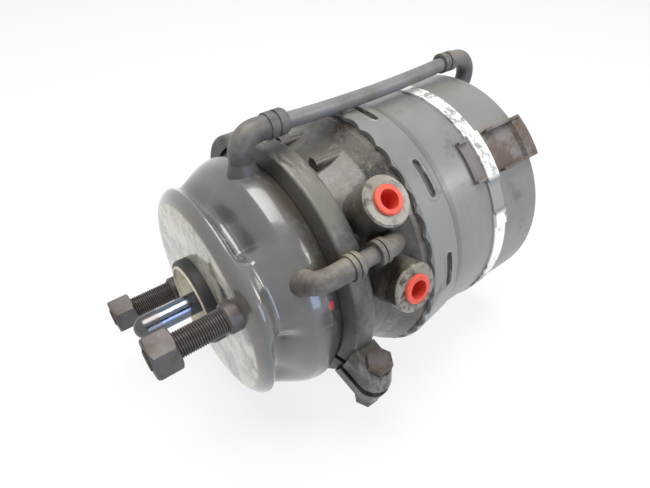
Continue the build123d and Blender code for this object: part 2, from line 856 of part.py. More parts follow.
o_ring = 2.0
hub_bore = tube_radius + running_clearance
hub_groove = hub_bore + 2 * o_ring + 0.2
hub_groove_at = (88.0, 114.0)
can_groove_at = 141.0
can_groove_radius = cylinder_bore - 3.4
with BuildPart() as flange_body:
    add(flange_form.part)
    with BuildSketch(cross_plane(flange_front_floor_at)):
        Circle(service_recess_radius)
    extrude(amount=20, mode=Mode.SUBTRACT)
    with BuildSketch(cross_plane(flange_rear_floor_at)):
        Circle(spring_recess_radius)
        Circle(hub_radius, mode=Mode.SUBTRACT)
    extrude(amount=-60, mode=Mode.SUBTRACT)
    with BuildSketch(cross_plane(hub_end_at)):
        Circle(hub_radius)
    extrude(amount=-60, mode=Mode.SUBTRACT)
    with BuildSketch(cross_plane(60)):
        Circle(hub_bore)
    extrude(amount=-120, mode=Mode.SUBTRACT)
    for at in hub_groove_at:
        with BuildSketch(cross_plane(at)):
            Circle(hub_groove)
        extrude(amount=2 * o_ring + 0.4, mode=Mode.SUBTRACT)
    with BuildSketch(Plane.XY):
        with Locations((-can_groove_at, can_groove_radius)):
            Rectangle(4.6, 10, align=(Align.CENTER, Align.MIN))
    revolve(axis=Axis.X, mode=Mode.SUBTRACT)
    for angle in (service_port_angle, parking_port_angle):
        with BuildSketch(radial_plane(port_at, angle, port_face_radius)):
            Circle(port_hole_radius)
        extrude(amount=-port_hole_depth, mode=Mode.SUBTRACT)
        with BuildSketch(radial_plane(port_at, angle, port_face_radius)):
            Circle(port_passage_radius)
        extrude(amount=-(port_face_radius - service_passage_radius), mode=Mode.SUBTRACT)
    with BuildSketch(cross_plane(port_at)):
        with PolarLocations(service_passage_radius, 1, start_angle=service_port_angle):
            Circle(port_passage_radius)
    extrude(amount=port_at - joint_at, mode=Mode.SUBTRACT)
    with BuildSketch(cross_plane(port_at)):
        with PolarLocations(parking_passage_radius, 1, start_angle=parking_port_angle):
            Circle(port_passage_radius)
    extrude(amount=port_at - flange_rear_floor_at - 4, mode=Mode.SUBTRACT)
    with BuildSketch(radial_plane(breather_rear_at, breather_angle, 76)):
        Circle(nipple_radius)
    extrude(amount=20, mode=Mode.SUBTRACT)
flange_body.part.label = "flange_body"
export_step(flange_body.part, "parts/flange_body.step")


# Hollow transport plugs in the two ports
def port_plug(angle):
    """Thin cup with a flange that sits on the port face."""
    with BuildPart() as plug:
        with BuildSketch(radial_plane(port_at, angle, port_face_radius)):
            Circle(plug_flange_radius)
        extrude(amount=plug_flange_thickness)
        chamfer(faces().sort_by(Axis(origin=(0, 0, 0), direction=outward(angle)))[-1].edges(), 0.7)
        with BuildSketch(radial_plane(port_at, angle, port_face_radius)):
            Circle(port_hole_radius - 0.1)
        extrude(amount=-(port_hole_depth - 3))
        with BuildSketch(radial_plane(port_at, angle, port_face_radius + plug_flange_thickness)):
            Circle(plug_bore_radius)
        extrude(amount=-(port_hole_depth - 3 - 1.5 + plug_flange_thickness), mode=Mode.SUBTRACT)
    return plug.part


service_port_plug = port_plug(service_port_angle)
service_port_plug.label = "service_port_plug"
export_step(service_port_plug, "parts/service_port_plug.step")

parking_port_plug = port_plug(parking_port_angle)
parking_port_plug.label = "parking_port_plug"
export_step(parking_port_plug, "parts/parking_port_plug.step")

# O-rings in the hub bore and between flange body and cylinder
with BuildPart() as hub_seals:
    for at in hub_groove_at:
        with BuildSketch(Plane.XY):
            with Locations((-at + o_ring + 0.2, hub_bore + o_ring + 0.15)):
                Circle(o_ring)
        revolve(axis=Axis.X)
hub_seals.part.label = "hub_seals"
export_step(hub_seals.part, "parts/hub_seals.step")

with BuildPart() as cylinder_seal:
    with BuildSketch(Plane.XY):
        with Locations((-can_groove_at, can_groove_radius + o_ring + 0.05)):
            Circle(o_ring)
    revolve(axis=Axis.X)
cylinder_seal.part.label = "cylinder_seal"
export_step(cylinder_seal.part, "parts/cylinder_seal.step")

# Crimp sleeve with its slots and scalloped front edge
scallop_at = sleeve_lip_at + scallop_depth - scallop_radius
with BuildPart() as crimp_sleeve:
    with BuildSketch(Plane.XY):
        with BuildLine():
            Polyline(
                (-sleeve_end_at, cylinder_radius + 0.05),
                (-flange_crown_at, flange_crown_radius + 0.05),
                (-flange_crown_at, sleeve_lip_radius),
                (-sleeve_lip_at, sleeve_lip_radius),
                (-sleeve_lip_at, flange_crown_radius + 0.8),
                (-flange_crown_at, flange_crown_radius + sleeve_wall + 0.1),
                (-sleeve_end_at, cylinder_radius + sleeve_wall),
                close=True,
            )
        make_face()
    revolve(axis=Axis.X)
    for index in range(slot_count):
        angle = slot_angle + index * 360 / slot_count
        with BuildSketch(radial_plane(slot_at, angle, cylinder_bore)):
            SlotOverall(slot_length, slot_width, rotation=90)
        extrude(amount=30, mode=Mode.SUBTRACT)
    for index in range(scallop_count):
        angle = (index + 0.5) * 360 / scallop_count
        with BuildSketch(radial_plane(scallop_at, angle, cylinder_bore)):
            Circle(scallop_radius)
        extrude(amount=20, mode=Mode.SUBTRACT)
crimp_sleeve.part.label = "crimp_sleeve"
export_step(crimp_sleeve.part, "parts/crimp_sleeve.step")

# Spring cylinder, a deep drawn pot with a flared mouth and a recessed end
recess_floor_at = cylinder_end_at - end_recess_depth
with BuildPart() as spring_cylinder:
    with BuildSketch(Plane.XY):
        with BuildLine():
            Polyline(
                (-cylinder_mouth_at, cone_radius(cylinder_mouth_at) - 0.05),
                (-sleeve_end_at, cylinder_radius),
                (-cylinder_end_at, cylinder_radius),
                (-cylinder_end_at, end_recess_radius + 3),
                (-recess_floor_at, end_recess_radius),
                (-recess_floor_at, release_bolt_radius + 0.1),
                (-recess_floor_at + cylinder_wall, release_bolt_radius + 0.1),
                (-recess_floor_at + cylinder_wall, end_recess_radius + cylinder_wall),
                (-cylinder_end_at + cylinder_wall, end_recess_radius + cylinder_wall + 3),
                (-cylinder_end_at + cylinder_wall, cylinder_bore),
                (-spigot_end_at, cylinder_bore),
                (-cylinder_mouth_at, cone_radius(cylinder_mouth_at) - cylinder_wall),
                close=True,
            )
        make_face()
        fillet(vertices().sort_by_distance((-cylinder_end_at, cylinder_radius))[0], 4.0)
        fillet(
            vertices().sort_by_distance((-cylinder_end_at + cylinder_wall, cylinder_bore))[0], 2.0
        )
        fillet(vertices().sort_by_distance((-cylinder_end_at, end_recess_radius + 3))[0], 2.5)
    revolve(axis=Axis.X)
    with BuildSketch(cross_plane(cylinder_end_at + 1)):
        with PolarLocations(vent_return_height, 1, start_angle=vent_rear_angle):
            Circle(nipple_radius)
    extrude(amount=cylinder_wall + 2, mode=Mode.SUBTRACT)
spring_cylinder.part.label = "spring_cylinder"
export_step(spring_cylinder.part, "parts/spring_cylinder.step")

# Parking piston with its tube; a hexagonal bore keeps the release nut from turning
tube_bore_front_at = tube_head_at + tube_head_thickness
web_front_at = piston_at - 12.0
with BuildPart() as parking_piston:
    with BuildSketch(Plane.XY):
        with BuildLine():
            Polyline(
                (-tube_head_at, 0),
                (-tube_head_at, tube_radius - 2),
                (-tube_head_at - 2, tube_radius),
                (-piston_at + 10, tube_radius),
                (-piston_at, 28),
                (-piston_at, cylinder_bore - piston_clearance),
                (-piston_at - piston_thickness, cylinder_bore - piston_clearance),
                (-piston_at - piston_thickness, 0),
                close=True,
            )
        make_face()
    revolve(axis=Axis.X)
    with BuildSketch(cross_plane(web_front_at)):
        RegularPolygon(hex_bore / 2, 6, major_radius=False)
    extrude(amount=web_front_at - tube_bore_front_at, mode=Mode.SUBTRACT)
    with BuildSketch(cross_plane(tube_bore_front_at)):
        Circle(release_bolt_radius + 0.6)
    extrude(amount=-150, mode=Mode.SUBTRACT)
    seal_groove_radius = cylinder_bore - 3.6
    with BuildSketch(Plane.XY):
        with Locations((-piston_at - piston_thickness / 2, seal_groove_radius)):
            Rectangle(4.2, 10, align=(Align.CENTER, Align.MIN))
    revolve(axis=Axis.X, mode=Mode.SUBTRACT)
parking_piston.part.label = "parking_piston"
export_step(parking_piston.part, "parts/parking_piston.step")

# Piston lip seal
with BuildPart() as piston_seal:
    with BuildSketch(Plane.XY):
        with Locations((-piston_at - piston_thickness / 2, seal_groove_radius + 0.05)):
            Rectangle(4.0, 3.3, align=(Align.CENTER, Align.MIN))
    revolve(axis=Axis.X)
piston_seal.part.label = "piston_seal"
export_step(piston_seal.part, "parts/piston_seal.step")

# Power spring between the piston and the cylinder end
power_spring = coil(
    piston_at + piston_thickness + 0.3,
    cylinder_end_at - cylinder_wall - 0.3,
    power_spring_radius,
    power_spring_wire,
    power_spring_turns,
)
power_spring.label = "power_spring"
export_step(power_spring, "parts/power_spring.step")

# Release bolt, free to turn in the cylinder end
with BuildPart() as release_bolt:
    with BuildSketch(cross_plane(recess_floor_at + release_head_height)):
        RegularPolygon(release_head_across_flats / 2, 6, major_radius=False)
    extrude(amount=release_head_height)
    with BuildSketch(cross_plane(recess_floor_at + 0.05)):
        Circle(release_bolt_radius)
    extrude(amount=recess_floor_at - release_bolt_front_at)
    chamfer(faces().sort_by(Axis.X)[-1].edges(), 1.5)
    with BuildSketch(cross_plane(recess_floor_at - cylinder_wall - 0.3)):
        Circle(14.0)
    extrude(amount=3.0)
release_bolt.part.label = "release_bolt"
export_step(release_bolt.part, "parts/release_bolt.step")

# Release nut, a hexagon that slides in the piston tube
with BuildPart() as release_nut:
    with BuildSketch(cross_plane(release_nut_at + release_nut_height)):
        RegularPolygon(hex_bore / 2 - 0.3, 6, major_radius=False)
        Circle(release_bolt_radius + thread_clearance, mode=Mode.SUBTRACT)
    extrude(amount=release_nut_height)
release_nut.part.label = "release_nut"
export_step(release_nut.part, "parts/release_nut.step")


# Hoses
def hose(points, bend, outer):
    """Round rubber hose with its bore, along straight runs and tangent bends."""
    with BuildPart() as tube:
        with BuildLine() as route:
            FilletPolyline(*points, radius=bend)
        with BuildSketch(Plane(origin=route.line @ 0, z_dir=route.line % 0)):
            Circle(outer)
            Circle(hose_bore_radius, mode=Mode.SUBTRACT)
        sweep(path=route.line)
    return tube.part


def elbow_foot(at, angle, radius, low, high):
    """Flared foot where an elbow grips its nipple."""
    with BuildPart() as foot:
        with BuildSketch(radial_plane(at, angle, low)):
            Circle(radius + elbow_foot_flare)
        extrude(amount=high - low, taper=math.degrees(math.atan(elbow_foot_flare / (high - low))))
        with BuildSketch(radial_plane(at, angle, low)):
            Circle(hose_bore_radius)
        extrude(amount=high - low, mode=Mode.SUBTRACT)
    return foot.part


def nipple(start, direction, length):
    """Short tube that an elbow is pushed onto."""
    with BuildPart() as tube:
        with BuildSketch(Plane(origin=start, z_dir=direction)):
            Circle(nipple_radius)
            Circle(nipple_radius - nipple_wall, mode=Mode.SUBTRACT)
        extrude(amount=length)
    return tube.part


def ribbed_collar(start, end, radius, count):
    """Ring of small ribs on the mouth of a hose elbow."""
    direction = (end - start).normalized()
    length = (end - start).length
    with BuildPart() as collar:
        for index in range(count):
            origin = start + direction * (length * index / count)
            with BuildSketch(Plane(origin=origin, z_dir=direction)):
                Circle(radius)
                Circle(radius - 1.6, mode=Mode.SUBTRACT)
            extrude(amount=length / count * 0.75)
    return collar.part


def socket(start, direction, radius, depth):
    """Hole in an elbow's mouth that takes the end of its pipe."""
    with BuildPart() as hole:
        with BuildSketch(Plane(origin=start, z_dir=direction)):
            Circle(radius)
        extrude(amount=depth)
    return hole.part


vent_front_corner = place(vent_front_at, vent_front_height, vent_front_angle)
rear_mouth = place(vent_rear_at - vent_rear_reach, vent_rear_height, vent_rear_angle)
vent_direction = (rear_mouth - vent_front_corner).normalized()
front_mouth = vent_front_corner + vent_direction * vent_mouth_reach
pipe_grip = 12.0
end_gap = 0.5

# Front elbow of the vent hose
elbow_start = housing_bulge_radius - 6.4
foot_low = housing_bulge_radius - elbow_foot_depth
foot_high = housing_bulge_radius + elbow_foot_height
front_route = [
    place(vent_front_at, elbow_start, vent_front_angle),
    vent_front_corner,
    front_mouth,
]
front_elbow_hose = hose(front_route, elbow_bend, vent_elbow_radius)
front_elbow_foot = elbow_foot(
    vent_front_at, vent_front_angle, vent_elbow_radius, foot_low, foot_high
)
front_collar = ribbed_collar(
    front_mouth - vent_direction * (pipe_grip + 2),
    front_mouth,
    vent_elbow_radius + vent_collar_rise,
    2,
)
front_nipple = nipple(
    place(vent_front_at, elbow_start - 1, vent_front_angle), outward(vent_front_angle), 9
)
front_socket = socket(front_mouth, -vent_direction, vent_pipe_radius, pipe_grip)
with BuildPart() as vent_front_elbow:
    add([front_elbow_hose, front_elbow_foot, front_collar])
    add(housing_form.part, mode=Mode.SUBTRACT)
    add(front_nipple)
    add(front_socket, mode=Mode.SUBTRACT)
vent_front_elbow.part.label = "vent_front_elbow"
export_step(vent_front_elbow.part, "parts/vent_front_elbow.step")

# Rear elbow of the vent hose, turned back into the cylinder end
vent_bend = (vent_rear_height - vent_return_height) / 2
rear_turn_start = place(vent_rear_at, vent_rear_height, vent_rear_angle)
rear_turn_end = place(vent_rear_at, vent_return_height, vent_rear_angle)
rear_turn_middle = place(
    vent_rear_at + vent_bend, vent_return_height + vent_bend, vent_rear_angle
)
rear_collar = ribbed_collar(
    rear_mouth,
    rear_mouth + Vector(-pipe_grip - 2, 0, 0),
    vent_rear_elbow_radius + vent_collar_rise,
    2,
)
rear_nipple = nipple(rear_turn_end, Vector(1, 0, 0), 5)
rear_socket = socket(rear_mouth, Vector(-1, 0, 0), vent_pipe_radius, pipe_grip)
with BuildPart() as vent_rear_elbow:
    with BuildLine() as route:
        Line(rear_mouth, rear_turn_start)
        ThreePointArc(rear_turn_start, rear_turn_middle, rear_turn_end)
    with BuildSketch(Plane(origin=rear_mouth, z_dir=(-1, 0, 0))):
        Circle(vent_rear_elbow_radius)
        Circle(hose_bore_radius, mode=Mode.SUBTRACT)
    sweep(path=route.line)
    add([rear_collar, rear_nipple])
    add(rear_socket, mode=Mode.SUBTRACT)
vent_rear_elbow.part.label = "vent_rear_elbow"
export_step(vent_rear_elbow.part, "parts/vent_rear_elbow.step")

# Vent pipe, sagging slightly from elbow to elbow
pipe_front = front_mouth - vent_direction * (pipe_grip - end_gap)
pipe_rear = rear_mouth + Vector(end_gap - pipe_grip, 0, 0)
pipe_middle = (pipe_front + pipe_rear) / 2 - outward(vent_front_angle + 3) * vent_pipe_sag
with BuildPart() as vent_pipe:
    with BuildLine() as route:
        ThreePointArc(pipe_front, pipe_middle, pipe_rear)
    with BuildSketch(Plane(origin=route.line @ 0, z_dir=route.line % 0)):
        Circle(vent_pipe_radius)
        Circle(vent_pipe_radius - vent_pipe_wall, mode=Mode.SUBTRACT)
    sweep(path=route.line)
vent_pipe.part.label = "vent_pipe"
export_step(vent_pipe.part, "parts/vent_pipe.step")

# Breather hose: elbow in the housing, elbow in the flange body, pipe between
breather_height = crown_radius + breather_clearance + breather_elbow_radius
breather_front_mouth = place(joint_at - 3.5, breather_height, breather_angle)
breather_rear_mouth = place(joint_at + 9.5, breather_height, breather_angle)
breather_foot_low = elbow_start
breather_foot_high = elbow_start + 9
breather_grip = 8.0
breather_ends = (
    (breather_front_at, breather_front_mouth, -1),
    (breather_rear_at, breather_rear_mouth, 1),
)


def breather_elbow(at, mouth, way):
    """Elbow from its nipple to the breather pipe; way points away from the pipe along X."""
    corner = place(at, breather_height, breather_angle)
    low = place(at, elbow_start, breather_angle)
    tube = hose([low, corner, mouth], breather_bend, breather_elbow_radius)
    mouth_lip = ribbed_collar(
        mouth,
        mouth + Vector(-way * breather_grip, 0, 0),
        breather_elbow_radius + breather_lip_rise,
        2,
    )
    hole = socket(mouth, Vector(-way, 0, 0), breather_pipe_radius, breather_grip)
    with BuildPart() as elbow:
        add([tube, mouth_lip])
        add(hole, mode=Mode.SUBTRACT)
    return elbow.part


front_breather_form = breather_elbow(*breather_ends[0])
rear_breather_form = breather_elbow(*breather_ends[1])
breather_foot = elbow_foot(
    breather_front_at,
    breather_angle,
    breather_elbow_radius,
    breather_foot_low,
    breather_foot_high,
)
front_breather_nipple = nipple(
    place(breather_front_at, elbow_start - 2, breather_angle), outward(breather_angle), 9
)
rear_breather_nipple = nipple(
    place(breather_rear_at, elbow_start - 1, breather_angle), outward(breather_angle), 11
)
with BuildPart() as breather_front_elbow:
    add([front_breather_form, breather_foot])
    add(housing_form.part, mode=Mode.SUBTRACT)
    add(front_breather_nipple)
breather_front_elbow.part.label = "breather_front_elbow"
export_step(breather_front_elbow.part, "parts/breather_front_elbow.step")

with BuildPart() as breather_rear_elbow:
    add(rear_breather_form)
    add(flange_form.part, mode=Mode.SUBTRACT)
    add(rear_breather_nipple)
breather_rear_elbow.part.label = "breather_rear_elbow"
export_step(breather_rear_elbow.part, "parts/breather_rear_elbow.step")

breather_pipe_front = breather_front_mouth + Vector(breather_grip - end_gap, 0, 0)
breather_pipe_rear = breather_rear_mouth - Vector(breather_grip - end_gap, 0, 0)
with BuildPart() as breather_pipe:
    with BuildSketch(Plane(origin=breather_pipe_rear, z_dir=(1, 0, 0))):
        Circle(breather_pipe_radius)
        Circle(breather_pipe_radius - breather_pipe_wall, mode=Mode.SUBTRACT)
    extrude(amount=(breather_pipe_front - breather_pipe_rear).length)
breather_pipe.part.label = "breather_pipe"
export_step(breather_pipe.part, "parts/breather_pipe.step")

# Strap around the cylinder, raised where it crosses the bracket
raise_span = 2 * bracket_half_angle + 3
raise_start = bracket_angle - raise_span / 2
over_radius = cylinder_radius + bracket_lift + bracket_thickness + 0.1


def band(start, span, inner, outer):
    """Sector of the strap's rectangular section."""
    with BuildPart() as sector:
        with BuildSketch(section_plane(start)):
            with Locations((-strap_at, inner)):
                Rectangle(strap_width, outer - inner, align=(Align.CENTER, Align.MIN))
        revolve(axis=Axis.X, revolution_arc=span)
    return sector.part


strap_inner = cylinder_radius + 0.05
strap_outer = strap_inner + strap_thickness
raise_end = raise_start + raise_span
raise_wall = 1.0
strap_bands = [
    band(raise_end, 360 - raise_span, strap_inner, strap_outer),
    band(raise_start, raise_span, over_radius, over_radius + strap_thickness),
    band(raise_start, raise_wall, strap_inner, over_radius + strap_thickness),
    band(raise_end - raise_wall, raise_wall, strap_inner, over_radius + strap_thickness),
    band(strap_lap_angle, strap_lap_span, strap_outer - 0.1, strap_outer + strap_thickness),
]
with BuildPart() as strap:
    add(strap_bands)
strap.part.label = "strap"
export_step(strap.part, "parts/strap.step")

# Bracket held down by the strap
bracket_inner = cylinder_radius + bracket_lift
with BuildPart() as strap_bracket:
    with BuildSketch(section_plane(bracket_angle - bracket_half_angle)):
        with BuildLine():
            Polyline(
                (-bracket_front_at, bracket_inner),
                (-bracket_front_at, bracket_inner + bracket_thickness),
                (-bracket_step_at, bracket_inner + bracket_thickness),
                (-bracket_step_at - 2, bracket_inner + bracket_thickness + bracket_step_height),
                (-bracket_rear_at, bracket_inner + bracket_thickness + bracket_step_height),
                (-bracket_rear_at, bracket_inner + bracket_step_height),
                (-bracket_step_at - 3, bracket_inner + bracket_step_height),
                (-bracket_step_at - 1, bracket_inner),
                close=True,
            )
        make_face()
    revolve(axis=Axis.X, revolution_arc=2 * bracket_half_angle)
    for angle in (
        bracket_angle - bracket_half_angle,
        bracket_angle + bracket_half_angle - bracket_rail_span,
    ):
        with BuildSketch(section_plane(angle)):
            with Locations((-bracket_rail_at, bracket_inner)):
                Rectangle(bracket_rail_length, bracket_rail_height, align=(Align.MAX, Align.MIN))
            with Locations((-bracket_front_at, bracket_inner)):
                Rectangle(bracket_tab_length, bracket_tab_height, align=(Align.MAX, Align.MIN))
        revolve(axis=Axis.X, revolution_arc=bracket_rail_span)
strap_bracket.part.label = "strap_bracket"
export_step(strap_bracket.part, "parts/strap_bracket.step")
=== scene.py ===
import math

import bmesh
import bpy
from mathutils import Matrix, Vector


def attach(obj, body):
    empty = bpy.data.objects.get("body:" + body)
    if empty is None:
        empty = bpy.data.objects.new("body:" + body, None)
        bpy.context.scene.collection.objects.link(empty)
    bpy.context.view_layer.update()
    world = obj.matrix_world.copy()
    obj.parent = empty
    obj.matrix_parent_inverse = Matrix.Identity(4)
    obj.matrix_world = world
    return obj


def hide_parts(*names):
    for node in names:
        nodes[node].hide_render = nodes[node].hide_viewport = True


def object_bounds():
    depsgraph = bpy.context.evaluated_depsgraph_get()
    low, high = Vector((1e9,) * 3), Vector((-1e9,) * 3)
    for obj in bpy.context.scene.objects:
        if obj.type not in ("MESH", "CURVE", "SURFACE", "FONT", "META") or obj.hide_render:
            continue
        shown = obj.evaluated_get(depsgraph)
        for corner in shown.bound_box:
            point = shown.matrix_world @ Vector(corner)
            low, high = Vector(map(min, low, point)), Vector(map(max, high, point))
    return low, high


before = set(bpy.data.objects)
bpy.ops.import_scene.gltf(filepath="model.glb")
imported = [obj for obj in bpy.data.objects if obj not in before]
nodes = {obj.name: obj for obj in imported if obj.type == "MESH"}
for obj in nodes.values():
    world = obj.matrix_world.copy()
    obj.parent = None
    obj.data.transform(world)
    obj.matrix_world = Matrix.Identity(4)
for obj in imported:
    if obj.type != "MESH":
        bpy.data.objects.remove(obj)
cadLow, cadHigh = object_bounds()
print("frame loaded:", len(nodes), "nodes")


# Camera with a short lens, close to the chamber
view = {
    "place": (0.07092, 0.22965, 0.24661),
    "right": (-0.792, 0.6105, 0.0),
    "up": (-0.4018, -0.5213, 0.7529),
    "back": (0.4596, 0.5963, 0.6582),
    "lens": 26.68,
}


def makeCamera(values):
    data = bpy.data.cameras.new("camera")
    data.lens = values["lens"]
    data.sensor_width = 36.0
    data.sensor_fit = "HORIZONTAL"
    data.clip_start = 0.01
    data.clip_end = 20.0
    camera = bpy.data.objects.new("camera", data)
    bpy.context.scene.collection.objects.link(camera)
    turn = Matrix((values["right"], values["up"], values["back"])).transposed()
    camera.matrix_world = Matrix.Translation(values["place"]) @ turn.to_4x4()
    bpy.context.scene.camera = camera


makeCamera(view)
print("camera placed")


# Shader sockets as values: arithmetic on them adds Math nodes
class Wire:
    def __init__(self, board, socket):
        self.board = board
        self.socket = socket

    def __add__(self, other):
        return self.board.math("ADD", self, other)

    def __radd__(self, other):
        return self.board.math("ADD", other, self)

    def __sub__(self, other):
        return self.board.math("SUBTRACT", self, other)

    def __rsub__(self, other):
        return self.board.math("SUBTRACT", other, self)

    def __mul__(self, other):
        return self.board.math("MULTIPLY", self, other)

    def __rmul__(self, other):
        return self.board.math("MULTIPLY", other, self)

    def __truediv__(self, other):
        return self.board.math("DIVIDE", self, other)

    def __rtruediv__(self, other):
        return self.board.math("DIVIDE", other, self)


def tint(code):
    parts = [int(code[i : i + 2], 16) / 255 for i in (0, 2, 4)]
    linear = [c / 12.92 if c < 0.04045 else ((c + 0.055) / 1.055) ** 2.4 for c in parts]
    return (*linear, 1.0)


class Board:
    def __init__(self, tree):
        self.tree = tree
        self.tree.nodes.clear()

    def wire(self, made, output):
        return Wire(self, made.outputs[output])

    def node(self, kind, settings, sockets, output=0):
        made = self.tree.nodes.new(kind)
        for key, value in settings.items():
            setattr(made, key, value)
        for key, value in sockets.items():
            if isinstance(key, int):
                target = made.inputs[key]
            else:
                target = next(s for s in made.inputs if key in (s.identifier, s.name) and s.enabled)
            if isinstance(value, Wire):
                self.tree.links.new(value.socket, target)
            else:
                target.default_value = value
        if output is None:
            return made
        return self.wire(made, output)

    def math(self, operation, *values):
        return self.node("ShaderNodeMath", {"operation": operation}, dict(enumerate(values)))


class Finish(Board):
    def __init__(self, name):
        self.material = bpy.data.materials.new(name)
        self.material.use_nodes = True
        super().__init__(self.material.node_tree)
        self.place = self.node("ShaderNodeTexCoord", {}, {}, "Object")
        parts = self.node("ShaderNodeSeparateXYZ", {}, {"Vector": self.place}, None)
        self.x, self.y, self.z = (self.wire(parts, k) for k in "XYZ")
        self.radius = self.math("SQRT", self.y * self.y + self.z * self.z)
        self.angle = self.math("ARCTAN2", self.z, self.y) * (180 / math.pi)
        geometry = self.node("ShaderNodeNewGeometry", {}, {}, "Normal")
        parts = self.node("ShaderNodeSeparateXYZ", {}, {"Vector": geometry}, None)
        self.normalX = self.wire(parts, "X")

    def mix(self, amount, first, second):
        sockets = {"Factor_Float": amount, "A_Color": first, "B_Color": second}
        settings = {"data_type": "RGBA", "clamp_factor": True}
        return self.node("ShaderNodeMix", settings, sockets, 2)

    def stretch(self, x, y, z):
        sockets = {"Vector": self.place, "Scale": (x, y, z)}
        return self.node("ShaderNodeMapping", {}, sockets)

    def noise(self, scale, detail=4.0, roughness=0.55, place=None, distortion=0.0):
        sockets = {
            "Vector": place or self.place,
            "Scale": scale,
            "Detail": detail,
            "Roughness": roughness,
            "Distortion": distortion,
        }
        return self.node("ShaderNodeTexNoise", {}, sockets)

    def cells(self, scale):
        return self.node("ShaderNodeTexVoronoi", {}, {"Vector": self.place, "Scale": scale})

    # 0 at low and 1 at high, whichever of the two is larger
    def step(self, value, low, high):
        settings = {"interpolation_type": "SMOOTHSTEP"}
        sockets = {"Value": value, "From Min": low, "From Max": high}
        return self.node("ShaderNodeMapRange", settings, sockets)

    def either(self, first, second):
        return self.math("MAXIMUM", first, second)

    def band(self, value, low, high, blur):
        return self.step(value, low - blur, low) * self.step(value, high + blur, high)

    # a soft oval on the chamber's side, at a distance behind the mounting face
    def spot(self, at, angle, radius, length, width, blur):
        turn = self.math("WRAP", self.angle, angle + 180, angle - 180) - angle
        around = turn * (radius * math.pi / 180)
        along = (self.x + at) / (length / 2)
        across = around / (width / 2)
        reach = self.math("SQRT", along * along + across * across)
        return self.step(reach, 1 + blur, 1 - blur)

    def shader(
        self, color, roughness, height=None, depth=0.0004, metallic=0.0, coat=0.0, specular=0.5
    ):
        sockets = {
            "Base Color": color,
            "Roughness": roughness,
            "Metallic": metallic,
            "Coat Weight": coat,
            "Coat Roughness": 0.1,
            "Specular IOR Level": specular,
        }
        if height is not None:
            sockets["Normal"] = self.node("ShaderNodeBump", {}, {"Height": height, "Distance": depth})
        return self.node("ShaderNodeBsdfPrincipled", {}, sockets)

    def finish(self, surface):
        self.node("ShaderNodeOutputMaterial", {}, {"Surface": surface}, None)
        return self.material

    def close(self, *parts, **named):
        return self.finish(self.shader(*parts, **named))


def dress(finish, *names):
    for name in names:
        mesh = nodes[name].data
        mesh.materials.clear()
        mesh.materials.append(finish)


# Service housing: dark grey enamel over pressed steel, its mounting face worn bare,
# dirt towards the clamp ring, painted shade in its valleys and painted bluish shade underneath
housingLook = {
    "enamel": tint("5a5a57"),
    "dust": tint("6b6357"),
    "grime": tint("332b22"),
    "shade": tint("474643"),
    "bluishUndersideShade": tint("3f434b"),
    "bare": tint("cdc7ba"),
    "stain": tint("6a5a4a"),
    "rustEdge": tint("75604c"),
    "chip": tint("2e2a27"),
    "oil": tint("24211f"),
    "redDot": tint("b0323a"),
    # distances in metres along the axis, x is 0 at the mounting face
    "grimeFrom": (-0.027, -0.044),
    "valleyShadeRadius": (0.0765, 0.0700),
    "valleyShadeFrom": (-0.008, -0.011),
    "frontFrom": (-0.012, 0.004),
    "faceFrom": (-0.0025, -0.0008),
    "rimFrom": (-0.009, -0.002),
    "undersideShadeFrom": (0.030, -0.045),
    # marks on the side: at, angle, radius, length, width, blur
    "redDotMark": (0.0495, 20.5, 0.086, 0.0052, 0.0058, 0.25),
    "oilMark": (0.0500, 16.0, 0.086, 0.020, 0.019, 0.35),
}


